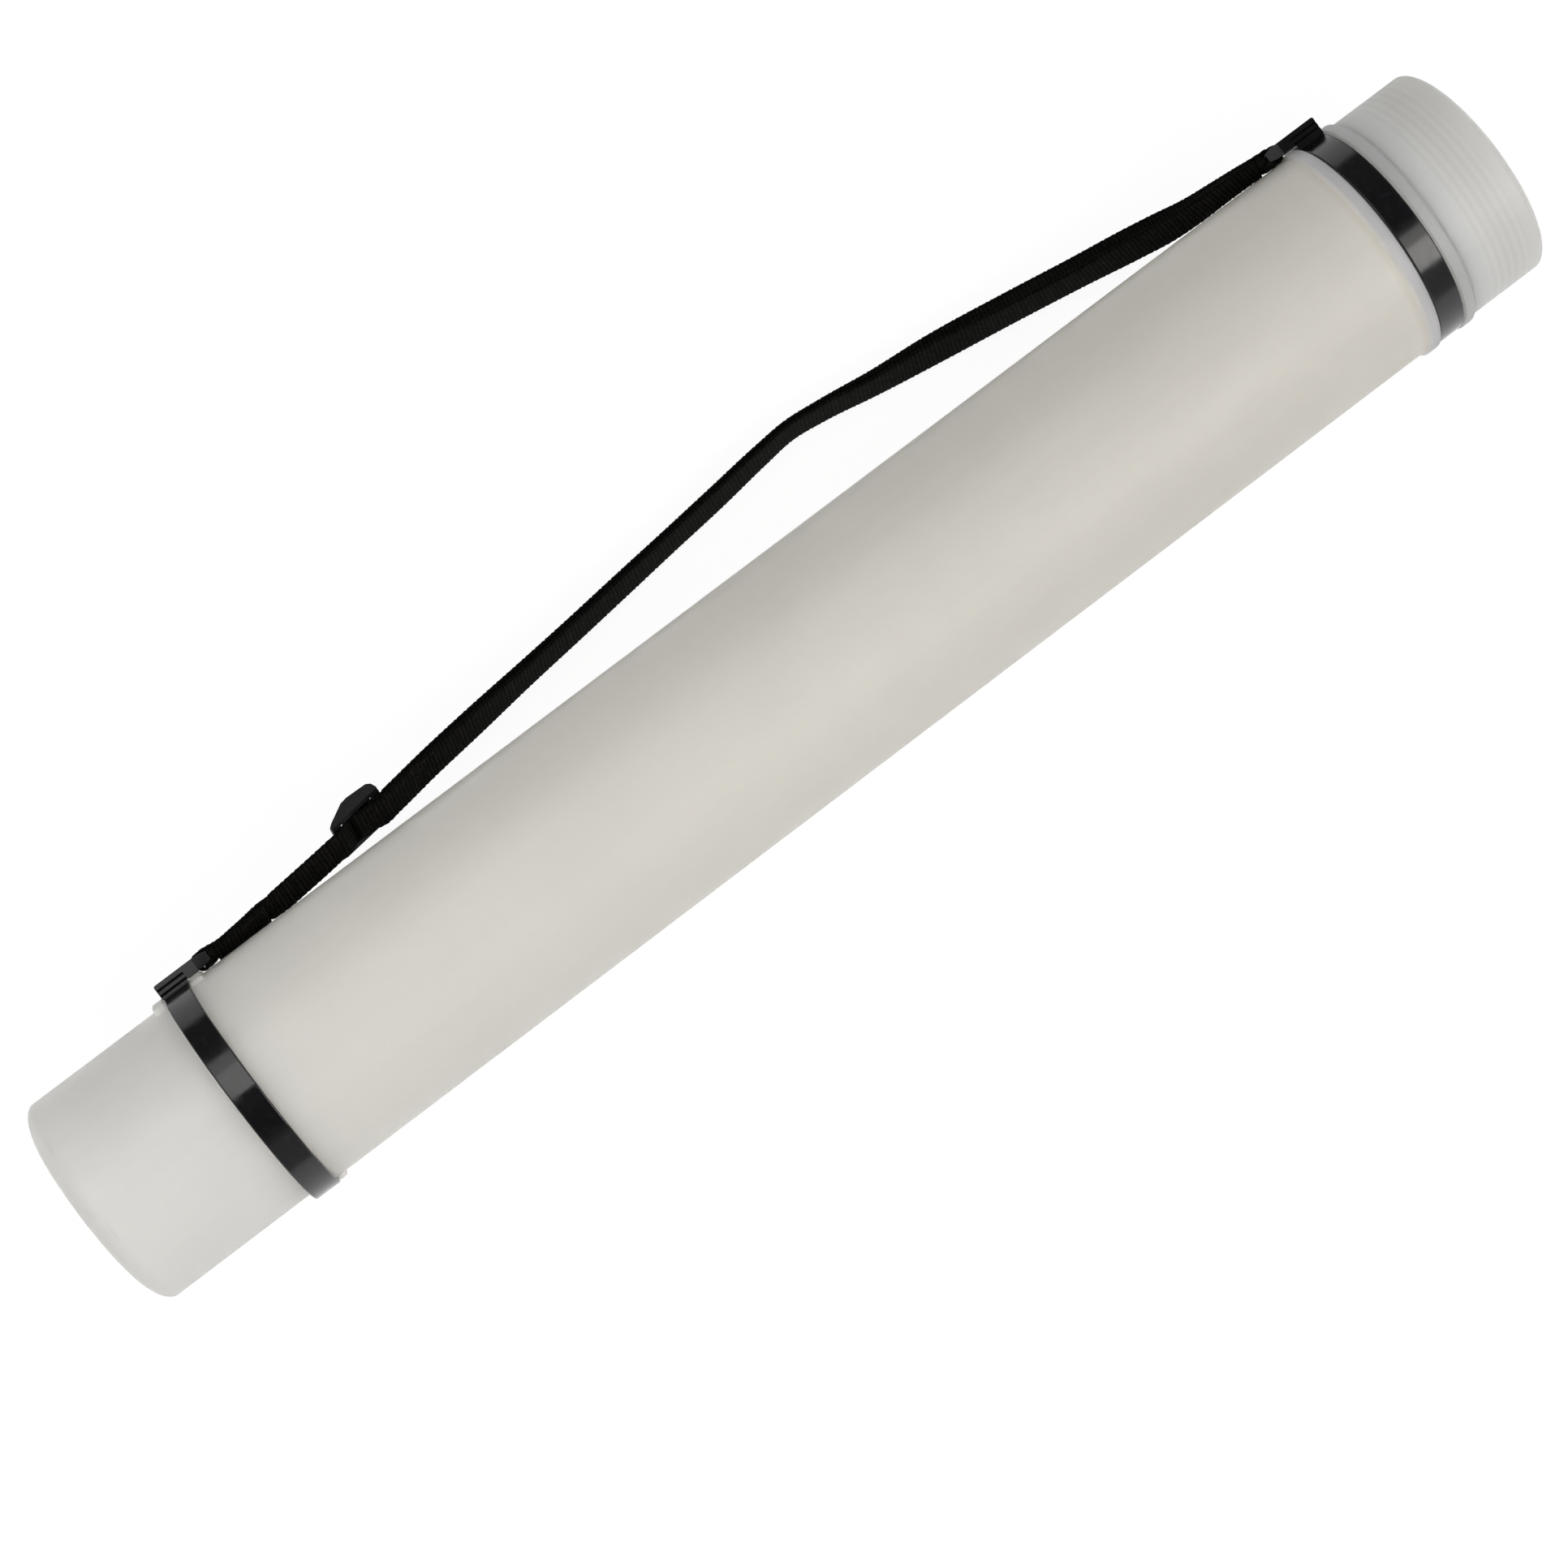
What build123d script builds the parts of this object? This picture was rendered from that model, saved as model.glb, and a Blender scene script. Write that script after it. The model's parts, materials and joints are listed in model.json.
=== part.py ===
from build123d import *
from math import cos, radians, sin
import os

# Frame: the tube lies along +X, the centre of its closed end's flat is the origin and +Z is up
# The strap and the lugs are on the +Y side, at the height of the tube's axis

# Outer tube, one blown moulding with a closed end
tube_radius = 42.5
tube_wall = 1.2
closed_inset = 0.8
closed_corner_length = 7.8
closed_corner_depth = 19.0
outer_length = 582.6
bead_flank = 1.2
seat_flank = 0.4

# Seats of the two bands on the outer tube
lower_band_x = 71.1
upper_band_inset = 10.85
upper_seat_depth = 1.5
upper_bead_height = 1.3
upper_bead_width = 5.5
mouth_rim_height = 1.1

# Pads that keep the lower band from sliding, beside its lug and opposite
pad_height = 1.55
pad_width = 4.9
pad_arc = 34.0
pad_chamfer = 0.5
nub_width = 3.2
nub_arc = 12.0

# Inner tube, which slides out of the outer one until its stop bead meets the lip
slide_clearance = 0.05
inner_wall = 1.1
inner_start_gap = 3.0
guide_bead_width = 5.0
guided_length = 84.25
neck_gap = 3.6
collar_width = 3.0
collar_clearance = 0.1

# Screw cap
cap_inset = 0.3
cap_wall = 1.3
cap_length = 33.9
cap_corner_length = 4.5
cap_corner_depth = 11.0
cap_seat_gap = 0.1

# Bands with their lugs and strap bars
band_width = 10.4
band_thickness = 2.0
band_clearance = 0.05
band_side_clearance = 0.3
band_edge = 0.5
lug_width = 10.8
lug_rise = 6.4
lug_foot = 0.45
lug_round = 0.8
arm_height = 4.7
arm_thickness = 2.4
arm_gap = 0.6
bar_offset = 13.5
bar_depth = 2.2
bar_radius = 1.5
arm_tip = 2.8
arm_taper = 0.7
arm_bevel = 0.9
groove_side = 0.7
groove_pitch = 2.1
groove_overrun = 0.5

# Webbing strap
web_width = 15.0
web_thickness = 1.35
web_gap = 0.25
bar_play = 0.67
fold_drop = 0.62
fold_shift = 0.6
fold_round = 1.6

# Adjuster, which the strap is threaded through
adjuster_length = 22.2
adjuster_thickness = 3.0
adjuster_plate = 1.6
adjuster_end_bar = 3.6
adjuster_bar_radius = 1.5
adjuster_rail = 2.1
adjuster_rail_round = 0.4
adjuster_play = 0.2

# Side view of a rail: place along the adjuster as a share of its length, height to the hidden side
adjuster_rail_outline = [
    (-0.5, -1.5),
    (-0.5, -0.6),
    (-0.42, 0.6),
    (-0.08, 4.0),
    (0.05, 4.2),
    (0.42, 2.8),
    (0.48, 1.4),
    (0.5, -1.5),
]

# Threading of the webbing through the adjuster, and where the adjuster sits on the strap
thread_gap = 0.15
window_margin = 0.6
sewn_flat = 0.9
adjuster_share = 0.153
adjuster_out = 6.0
adjuster_height = 0.722
adjuster_lean = 57.0
adjuster_run = 14.0

# Places worked out from the sizes above
closed_radius = tube_radius - closed_inset
lower_seat_radius = tube_radius
upper_seat_radius = tube_radius - upper_seat_depth
upper_bead_radius = tube_radius + upper_bead_height
mouth_rim_radius = tube_radius + mouth_rim_height
cap_radius = tube_radius - cap_inset
lug_top = tube_radius + lug_rise
upper_band_x = outer_length - upper_band_inset
seat_half = band_width / 2 + band_side_clearance
bore_radius = tube_radius - tube_wall
lip_radius = upper_seat_radius - tube_wall
inner_radius = lip_radius - slide_clearance
upper_seat_start = upper_band_x - seat_half
upper_seat_end = upper_band_x + seat_half
lower_seat_end = lower_band_x + seat_half
lip_start = upper_seat_start - tube_wall
closed_bore_end = lower_seat_end + tube_wall
inner_start = closed_bore_end + inner_start_gap
stop_end = inner_start + guided_length
mouth = outer_length + cap_seat_gap
neck_end = mouth + cap_length - cap_wall - neck_gap
cap_bore = cap_radius - cap_wall
lower_bar_x = lower_band_x + bar_offset
upper_bar_x = upper_band_x - bar_offset
bar_y = lug_top - bar_depth
arm_y = lug_top - arm_height / 2
floor_z = -(lower_seat_radius + band_clearance + band_thickness)

os.makedirs("parts", exist_ok=True)


def closed_end(x, side, radius, corner_length, corner_depth):
    """Half outline of a closed end: its flat from the axis, then its soft corner."""
    flat_radius = radius - corner_depth
    start = 90 if side < 0 else 0
    Line((x, 0), (x, flat_radius))
    EllipticalCenterArc(
        (x - side * corner_length, flat_radius),
        corner_length,
        corner_depth,
        start_angle=start,
        arc_size=90,
    )


def outer_skin():
    """Outside of the outer tube, from the closed end's flat to the mouth."""
    closed_end(0, -1, closed_radius, closed_corner_length, closed_corner_depth)
    Polyline(
        (closed_corner_length, closed_radius),
        (lower_band_x - seat_half - seat_flank, closed_radius),
        (lower_band_x - seat_half, lower_seat_radius),
        (lower_seat_end, lower_seat_radius),
        (lower_seat_end + seat_flank, tube_radius),
        (upper_seat_start - upper_bead_width, tube_radius),
        (upper_seat_start - upper_bead_width + bead_flank, upper_bead_radius),
        (upper_seat_start - seat_flank, upper_bead_radius),
        (upper_seat_start, upper_seat_radius),
        (upper_seat_end, upper_seat_radius),
        (upper_seat_end + seat_flank, mouth_rim_radius),
        (outer_length - bead_flank, mouth_rim_radius),
        (outer_length, mouth_rim_radius - bead_flank),
        (outer_length, 0),
        (0, 0),
    )


def outer_bore():
    """Inside of the outer tube: closed end, main bore and the lip under the upper band."""
    corner_length = closed_corner_length - tube_wall
    corner_depth = closed_corner_depth - tube_wall
    closed_bore = closed_radius - tube_wall
    closed_end(tube_wall, -1, closed_bore, corner_length, corner_depth)
    Polyline(
        (closed_corner_length, closed_bore),
        (closed_bore_end, closed_bore),
        (closed_bore_end + seat_flank, bore_radius),
        (lip_start, bore_radius),
        (lip_start + seat_flank, lip_radius),
        (outer_length, lip_radius),
        (outer_length, 0),
        (tube_wall, 0),
    )


def pad_profile(x_start, width, skin_radius, start_angle):
    """Section of a raised pad beside the lower band, where its arc about the axis starts."""
    foot = skin_radius - tube_wall / 2
    top = tube_radius + pad_height
    with BuildSketch(Plane.XY.rotated((start_angle, 0, 0))) as profile:
        with BuildLine():
            Polyline(
                (x_start, foot),
                (x_start, top - pad_chamfer),
                (x_start + pad_chamfer, top),
                (x_start + width - pad_chamfer, top),
                (x_start + width, top - pad_chamfer),
                (x_start + width, foot),
                close=True,
            )
        make_face()
    return profile.sketch


with BuildPart() as outer_tube:
    with BuildSketch():
        with BuildLine():
            outer_skin()
        make_face()
        with BuildLine():
            outer_bore()
        make_face(mode=Mode.SUBTRACT)
    revolve(axis=Axis.X)
    pads = [
        (lower_band_x - seat_half - pad_width, pad_width, closed_radius, pad_arc, 0),
        (lower_seat_end, pad_width, tube_radius, pad_arc, 0),
        (lower_seat_end, nub_width, tube_radius, nub_arc, 180),
    ]
    for x_start, width, skin_radius, arc, middle_angle in pads:
        profile = pad_profile(x_start, width, skin_radius, middle_angle - arc / 2)
        revolve(profile, axis=Axis.X, revolution_arc=arc)
outer_tube.part.label = "outer_tube"
export_step(outer_tube.part, "parts/outer_tube.step")


def inner_skin():
    """Outside of the inner tube: guide bead, stop bead, long slide, collar and neck."""
    bead_radius = bore_radius - slide_clearance
    Polyline(
        (inner_start, 0),
        (inner_start, bead_radius),
        (inner_start + guide_bead_width, bead_radius),
        (inner_start + guide_bead_width, inner_radius),
        (stop_end - guide_bead_width, inner_radius),
        (stop_end - guide_bead_width, bead_radius),
        (stop_end, bead_radius),
        (stop_end, inner_radius),
        (mouth, inner_radius),
        (mouth, cap_bore - collar_clearance),
        (mouth + collar_width, cap_bore - collar_clearance),
        (mouth + collar_width, inner_radius),
        (neck_end, inner_radius),
        (neck_end, 0),
        close=True,
    )


with BuildPart() as inner_tube:
    with BuildSketch():
        with BuildLine():
            inner_skin()
        make_face()
        with BuildLine():
            Polyline(
                (inner_start, 0),
                (inner_start, inner_radius - inner_wall),
                (neck_end, inner_radius - inner_wall),
                (neck_end, 0),
                close=True,
            )
        make_face(mode=Mode.SUBTRACT)
    revolve(axis=Axis.X)
inner_tube.part.label = "inner_tube"
export_step(inner_tube.part, "parts/inner_tube.step")


def cap_outline(end_x, radius, corner_length, corner_depth):
    """Half outline of the cap's outside or inside, from its closed face to its open rim."""
    closed_end(end_x, 1, radius, corner_length, corner_depth)
    Polyline(
        (end_x - corner_length, radius),
        (mouth, radius),
        (mouth, 0),
        (end_x, 0),
    )


with BuildPart() as screw_cap:
    with BuildSketch():
        with BuildLine():
            cap_outline(mouth + cap_length, cap_radius, cap_corner_length, cap_corner_depth)
        make_face()
        with BuildLine():
            cap_outline(
                mouth + cap_length - cap_wall,
                cap_bore,
                cap_corner_length - cap_wall,
                cap_corner_depth - cap_wall,
            )
        make_face(mode=Mode.SUBTRACT)
    revolve(axis=Axis.X)
screw_cap.part.label = "screw_cap"
export_step(screw_cap.part, "parts/screw_cap.step")


def arm_profile(band_x, reach, low_z):
    """One arm at its low face, from inside the lug to its tapered tip past the bar."""
    bar_x = band_x + reach
    side = 1 if reach > 0 else -1
    tip_x = bar_x + side * arm_tip
    half = arm_height / 2
    tip_half = half - arm_taper
    with BuildSketch(Plane.XY.offset(low_z)) as profile:
        with BuildLine():
            Polyline(
                (band_x, arm_y - half),
                (bar_x, arm_y - half),
                (tip_x, arm_y - tip_half),
                (tip_x, arm_y + tip_half),
                (bar_x, arm_y + half),
                (band_x, arm_y + half),
                close=True,
            )
        make_face()
    return profile.sketch


def tip_wedge(band_x, reach, face_z):
    """Side view of the wedge that slopes the outer face of an arm down towards its tip."""
    side = 1 if reach > 0 else -1
    start = band_x + reach - side * arm_tip
    end = band_x + reach + side * (arm_tip + groove_overrun)
    low_z = face_z - arm_bevel if face_z > 0 else face_z + arm_bevel
    with BuildSketch(Plane.XZ.offset(-bar_y)) as wedge:
        with BuildLine():
            Polyline((start, face_z), (end, face_z), (end, low_z), close=True)
        make_face()
    return wedge.sketch


def band(band_x, seat_radius, reach):
    """Band moulded in one with its lug, its two arms and the bar that carries the strap."""
    inside = seat_radius + band_clearance
    arm_inner = web_width / 2 + arm_gap
    arm_outer = arm_inner + arm_thickness
    foot = inside + lug_foot
    groove_length = lug_width + 2 * groove_overrun
    with BuildPart() as piece:
        with BuildSketch():
            with Locations((band_x, inside + band_thickness / 2)):
                RectangleRounded(band_width, band_thickness, band_edge)
        revolve(axis=Axis.X)
        with BuildSketch(Plane.XY.offset(-arm_outer)):
            with Locations((band_x, (foot + lug_top) / 2)):
                RectangleRounded(lug_width, lug_top - foot, lug_round)
        extrude(amount=2 * arm_outer)
        for low_z in (-arm_outer, arm_inner):
            extrude(arm_profile(band_x, reach, low_z), amount=arm_thickness)
        with BuildSketch(Plane.XY.offset(-arm_inner)):
            with Locations((band_x + reach, bar_y)):
                Circle(bar_radius)
        extrude(amount=2 * arm_inner)
        for face_z in (arm_outer, -arm_outer):
            wedge = tip_wedge(band_x, reach, face_z)
            extrude(wedge, amount=arm_height, both=True, mode=Mode.SUBTRACT)
            for step in (0, 1):
                with Locations((band_x, bar_y - step * groove_pitch, face_z)):
                    Box(
                        groove_length,
                        groove_side,
                        groove_side,
                        rotation=(45, 0, 0),
                        mode=Mode.SUBTRACT,
                    )
    return piece.part


lower_band = band(lower_band_x, lower_seat_radius, bar_offset)
lower_band.label = "lower_band"
export_step(lower_band, "parts/lower_band.step")

upper_band = band(upper_band_x, upper_seat_radius, -bar_offset)
upper_band.label = "upper_band"
export_step(upper_band, "parts/upper_band.step")

# Strap route from the lower bar to the upper one, chosen by hand: share of the distance between
# the bars, distance out from the bars' line, height of the lower edge over the floor as a share
# of its height at the bars, lean from flat in degrees, gap between the two layers, and by how
# much the hidden layer stands steeper and the visible one flatter
low_route = [
    (0.003, -0.5, 1.0, 88, 4.1, 0),
    (0.0075, 0.0, 1.0, 84, 3.2, 6),
    (0.014, 0.15, 1.0, 80, 1.9, 9),
    (0.028, -0.1, 0.98, 78, 1.6, 6),
    (0.042, -0.1, 0.96, 72, 0.8, 3),
    (0.058, -0.1, 0.94, 65, web_gap, 0),
    (0.070, -0.5, 0.92, 58, web_gap, 0),
    (0.092, 0.3, 0.89, 57, web_gap, 0),
]
tail_stations = 6
high_route = [
    (0.220, 7.5, 0.55, 57, web_gap, 0),
    (0.269, 10.1, 0.40, 61, 0.8, 0),
    (0.318, 12.6, 0.26, 66, 0.9, 0),
    (0.368, 15.0, 0.14, 66, 0.6, 0),
    (0.419, 17.6, 0.06, 66, 0.5, 0),
    (0.467, 20.0, 0.01, 67, 0.4, 0),
    (0.518, 22.5, 0.0, 67, 0.4, 0),
    (0.565, 25.1, 0.0, 69, 0.3, 0),
    (0.593, 26.2, 0.0, 71, 0.3, 0),
    (0.624, 24.8, 0.0, 70, 0.4, 0),
    (0.668, 21.5, 0.0, 68, 1.3, 0),
    (0.719, 18.5, 0.0, 61, 2.0, 0),
    (0.793, 13.1, 0.09, 66, 3.3, 0),
    (0.841, 9.1, 0.24, 66, 3.3, 0),
    (0.888, 5.0, 0.46, 60, 3.0, 0),
    (0.910, 3.1, 0.58, 60, 2.8, 1),
    (0.934, 1.8, 0.71, 66, 2.3, 4),
    (0.957, 1.4, 0.84, 72, 2.3, 6),
    (0.980, 0.9, 0.95, 76, 2.2, 8),
    (0.9925, 0.2, 1.0, 84, 3.2, 6),
    (0.997, -0.5, 1.0, 88, 4.1, 0),
]
bar_gap = 2 * (bar_radius + bar_play)
fold_y = bar_y - fold_drop
bar_span = upper_bar_x - lower_bar_x
bar_edge_height = -web_width / 2 - floor_z


def route_point(share, out, height, lean, layers, gap):
    """Middle of the strap's section, raised so that its lower edge has the given height."""
    thickness = layers * web_thickness + (layers - 1) * gap
    rise = (web_width * sin(radians(lean)) + thickness * cos(radians(lean))) / 2
    x = lower_bar_x + share * bar_span
    return Vector(x, bar_y + out, floor_z + height * bar_edge_height + rise)


def section_plane(point, along, lean):
    """Plane across the strap: its x runs up the webbing's width, its y to the visible side."""
    along = along.normalized()
    width = Vector(0, cos(radians(lean)), sin(radians(lean)))
    width = (width - along * width.dot(along)).normalized()
    return Plane(origin=point, x_dir=width, z_dir=along)


def route_planes(route, side, start, end):
    """Section planes of one layer along a stretch of the route, each square to the run."""
    points = [route_point(s, out, h, lean, 2, gap) for s, out, h, lean, gap, spread in route]
    chain = [start] + points + [end]
    return [
        section_plane(chain[i + 1], chain[i + 2] - chain[i], route[i][3] - side * route[i][5])
        for i in range(len(route))
    ]


def section(plane, offset):
    """The webbing's section in one of its planes, off the middle towards the visible side."""
    with BuildSketch(plane) as outline:
        with Locations((0, offset)):
            Rectangle(web_width, web_thickness)
    return outline.sketch


def run(route, side, start, end):
    """Sections of one layer of the strap along a stretch of the route."""
    planes = route_planes(route, side, start, end)
    return [section(plane, layer_offset(point[4], side)) for plane, point in zip(planes, route)]


def fold(bar_x, side):
    """Webbing folded round the bar of a lug, on the side towards the lug."""
    inside = bar_radius + bar_play
    outside = inside + web_thickness
    with BuildSketch(Plane.XY.offset(-web_width / 2)) as outline:
        with Locations((bar_x - side * fold_shift, fold_y)):
            RectangleRounded(2 * outside, 2 * outside, fold_round)
            inner_round = fold_round - web_thickness
            RectangleRounded(2 * inside, 2 * inside, inner_round, mode=Mode.SUBTRACT)
        with Locations((bar_x - side * 2 * outside, fold_y)):
            Rectangle(4 * outside, 3 * outside, mode=Mode.SUBTRACT)
    return outline.sketch


def layer_offset(gap, side):
    """Offset of one layer of the doubled strap from the middle between both."""
    return side * (gap + web_thickness) / 2


# The adjuster's own frame: x along the strap, y up the webbing's width, z to the visible side
adjuster_point = route_point(
    adjuster_share, adjuster_out, adjuster_height, adjuster_lean, 2, web_gap
)
after = high_route[0]
after_point = route_point(after[0], after[1], after[2], after[3], 2, web_gap)
before = low_route[-1]
before_point = route_point(before[0], before[1], before[2], before[3], 1, web_gap)
adjuster_along = (after_point - before_point).normalized()
across = section_plane(adjuster_point, adjuster_along, adjuster_lean)
adjuster_plane = Plane(origin=adjuster_point, x_dir=adjuster_along, z_dir=across.y_dir)
profile_plane = Plane(origin=adjuster_point, x_dir=adjuster_along, z_dir=-across.x_dir)
adjuster_entry = across.offset(-adjuster_run)
adjuster_exit = across.offset(adjuster_run)

# Heights of the webbing over the adjuster's middle plane where it is threaded through
over_bar = adjuster_thickness / 2 + thread_gap + web_thickness / 2
round_bar = adjuster_bar_radius + thread_gap / 2 + web_thickness / 2
under_bar = -(round_bar + web_thickness + thread_gap)
over_both = over_bar + web_thickness + 2 * thread_gap
window_half = adjuster_length / 2 - adjuster_end_bar
step_top = window_half - window_margin
step_bottom = window_half / 2 + thread_gap
beside_bar = round_bar + web_thickness + thread_gap


def ribbon(points):
    """Webbing seen on edge along a bent line through the adjuster."""
    with BuildSketch(profile_plane) as outline:
        with BuildLine() as line:
            FilletPolyline(*points, radius=web_thickness)
        trace(line.line, web_thickness)
    return outline.sketch


def half_round():
    """Sewn end of the strap on edge, round the adjuster's middle bar."""
    outside = round_bar + web_thickness / 2
    with BuildSketch(profile_plane) as outline:
        Circle(outside)
        Circle(outside - web_thickness, mode=Mode.SUBTRACT)
        with Locations((outside, 0)):
            Rectangle(2 * outside, 3 * outside, mode=Mode.SUBTRACT)
    return outline.sketch


lower_bar_point = Vector(lower_bar_x, fold_y, 0)
upper_bar_point = Vector(upper_bar_x, fold_y, 0)
lower_bar_plane = section_plane(lower_bar_point, Vector(1, 0, 0), 90)
upper_bar_plane = section_plane(upper_bar_point, Vector(1, 0, 0), 90)

threaded = ribbon(
    [
        (-adjuster_run, over_bar),
        (-step_top, over_bar),
        (-beside_bar, 0),
        (-round_bar, under_bar),
        (step_bottom, under_bar),
        (step_top, over_bar),
        (adjuster_run, over_bar),
    ]
)
sewn_top = ribbon(
    [
        (0, round_bar),
        (adjuster_bar_radius + sewn_flat, round_bar),
        (step_top, over_both),
        (adjuster_run, over_both),
    ]
)
sewn_bottom = ribbon(
    [
        (0, -round_bar),
        (adjuster_bar_radius, -round_bar),
        (step_bottom, round_bar),
    ]
)

with BuildPart() as strap:
    extrude(fold(lower_bar_x, -1), amount=web_width)
    first = [section(lower_bar_plane, layer_offset(bar_gap, -1))]
    last = [section(adjuster_entry, over_bar)]
    hidden = run(low_route, -1, lower_bar_point, adjuster_entry.origin)
    loft(first + hidden + last, ruled=True)
    tail = [section(lower_bar_plane, layer_offset(bar_gap, 1))]
    visible = run(low_route, 1, lower_bar_point, adjuster_entry.origin)
    loft(tail + visible[:tail_stations], ruled=True)
    for outline in (threaded, half_round(), sewn_top, sewn_bottom):
        extrude(outline, amount=web_width / 2, both=True)
    for side, height in ((-1, over_bar), (1, over_both)):
        first = [section(adjuster_exit, height)]
        last = [section(upper_bar_plane, layer_offset(bar_gap, side))]
        layer = run(high_route, side, adjuster_exit.origin, upper_bar_point)
        loft(first + layer + last, ruled=True)
    extrude(fold(upper_bar_x, 1), amount=web_width)
strap.part.label = "strap"
export_step(strap.part, "parts/strap.step")

with BuildPart() as strap_adjuster:
    opening = web_width / 2 + adjuster_play
    half_width = opening + adjuster_rail
    half_thickness = adjuster_thickness / 2
    with BuildSketch(adjuster_plane.offset(half_thickness - adjuster_plate)):
        RectangleRounded(adjuster_length, 2 * half_width, adjuster_rail)
        Rectangle(2 * window_half, 2 * opening, mode=Mode.SUBTRACT)
    extrude(amount=adjuster_plate)
    rail_middle = opening + adjuster_rail / 2
    with BuildSketch(profile_plane):
        Circle(adjuster_bar_radius)
    extrude(amount=rail_middle, both=True)
    rail_points = [(share * adjuster_length, -height) for share, height in adjuster_rail_outline]
    for side in (-1, 1):
        with BuildSketch(profile_plane.offset(side * rail_middle)):
            with BuildLine():
                FilletPolyline(*rail_points, radius=adjuster_rail_round, close=True)
            make_face()
        extrude(amount=adjuster_rail / 2, both=True)
strap_adjuster.part.label = "strap_adjuster"
export_step(strap_adjuster.part, "parts/strap_adjuster.step")
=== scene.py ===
import json
from math import cos, pi, radians, sin, tau

import bpy
from mathutils import Matrix, Vector

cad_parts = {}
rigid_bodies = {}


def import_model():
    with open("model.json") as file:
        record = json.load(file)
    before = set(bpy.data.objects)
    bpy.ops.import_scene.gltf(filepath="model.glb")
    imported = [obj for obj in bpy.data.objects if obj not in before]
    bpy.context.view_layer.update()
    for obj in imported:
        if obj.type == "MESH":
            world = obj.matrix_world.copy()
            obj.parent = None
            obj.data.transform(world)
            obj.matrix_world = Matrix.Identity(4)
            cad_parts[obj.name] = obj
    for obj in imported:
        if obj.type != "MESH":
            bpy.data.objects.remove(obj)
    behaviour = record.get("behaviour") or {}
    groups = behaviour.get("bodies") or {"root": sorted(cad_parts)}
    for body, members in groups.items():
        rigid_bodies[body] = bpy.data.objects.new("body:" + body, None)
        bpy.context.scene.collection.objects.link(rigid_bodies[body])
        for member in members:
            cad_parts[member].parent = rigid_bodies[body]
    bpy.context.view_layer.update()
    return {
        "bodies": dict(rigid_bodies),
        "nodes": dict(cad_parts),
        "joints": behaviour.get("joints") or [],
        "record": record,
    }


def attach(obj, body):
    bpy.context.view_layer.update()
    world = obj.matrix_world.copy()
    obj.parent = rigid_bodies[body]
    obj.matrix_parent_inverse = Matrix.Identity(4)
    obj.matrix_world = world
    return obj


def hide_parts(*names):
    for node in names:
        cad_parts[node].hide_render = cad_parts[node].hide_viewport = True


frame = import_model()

mm = 0.001

# Camera: looks down on the tube, turned about its line of sight
camera_place = (0.17092, 0.01717, 1.48349)
camera_forward = (0.0761, -0.0299, -0.9967)
camera_level_up = (0.0048, 0.9996, -0.0296)
camera_roll = 36.859
camera_lens = 96.67

# Strap, in millimetres
web_width = 15.0
web_thickness = 1.3
layer_thickness = 1.35
web_gap = 0.25
warp_pitch = 0.6
rib_pitch = 1.6
rib_samples = 5
rib_depth = 0.18
edge_pitch = 2.4
edge_depth = 0.34
lower_bar = Vector((84.6, 46.7, 0.0))
upper_bar = Vector((558.25, 46.7, 0.0))
fold_inside = 2.17
fold_drop = 0.62
fold_shift = 0.6
fold_round = 1.6
floor_z = -44.55

# Share of the way between the bars, distance out, height of the lower edge, lean, gap of layers,
# and by how much the hidden layer stands steeper and the visible one flatter
low_route = [
    (0.003, -0.5, 1.0, 88, 4.1, 0),
    (0.0075, 0.15, 1.0, 80, 2.5, 8),
    (0.014, 0.0, 1.0, 80, 1.9, 9),
    (0.028, -0.1, 0.98, 78, 1.6, 6),
    (0.042, -0.1, 0.96, 72, 0.8, 3),
    (0.058, -0.1, 0.94, 65, web_gap, 0),
    (0.0625, -0.55, 0.932, 60, web_gap, 0),
    (0.070, -0.5, 0.92, 58, web_gap, 0),
    (0.092, 0.3, 0.89, 57, web_gap, 0),
]
# The tail of the visible layer ends past this many of them
tail_stations = 6
high_route = [
    (0.220, 7.5, 0.55, 57, web_gap, 0),
    (0.269, 10.1, 0.40, 61, 0.8, 0),
    (0.318, 12.6, 0.26, 66, 0.9, 0),
    (0.368, 15.0, 0.14, 66, 0.6, 0),
    (0.419, 17.6, 0.06, 66, 0.5, 0),
    (0.467, 20.0, 0.01, 67, 0.4, 0),
    (0.518, 22.5, 0.0, 67, 0.4, 0),
    (0.565, 25.1, 0.0, 69, 0.3, 0),
    (0.593, 26.2, 0.0, 71, 0.3, 0),
    (0.624, 24.8, 0.0, 70, 0.4, 0),
    (0.668, 21.5, 0.0, 68, 1.3, 0),
    (0.719, 18.5, 0.0, 61, 2.0, 0),
    (0.793, 13.1, 0.09, 66, 3.3, 0),
    (0.841, 9.1, 0.24, 66, 3.3, 0),
    (0.888, 5.0, 0.46, 60, 3.0, 0),
    (0.910, 3.1, 0.58, 60, 2.8, 1),
    (0.934, 1.8, 0.71, 66, 2.3, 4),
    (0.957, 1.4, 0.84, 72, 2.3, 6),
    (0.980, 0.9, 0.95, 76, 2.2, 8),
    (0.9925, 0.35, 1.0, 80, 2.5, 8),
    (0.997, -0.5, 1.0, 88, 4.1, 0),
]

# Adjuster, and the webbing's heights over its middle plane
adjuster_station = (0.153, 6.0, 0.722, 57.0, web_gap, 0)
adjuster_run = 14.0
step_top = 6.9
step_bottom = 3.9
over_bar = 2.325
round_bar = 2.25
beside_bar = 3.75
under_bar = -3.75
over_both = 3.975

# Thread of the neck and of the cap, in millimetres
thread_start = 589.6
thread_pitch = 3.2
thread_turns = 6
neck_radius = 39.75
neck_ridge = 0.55
neck_ridge_foot = 1.7
cap_bore_radius = 40.9
cap_ridge = -0.5
cap_ridge_foot = 1.5

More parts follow.
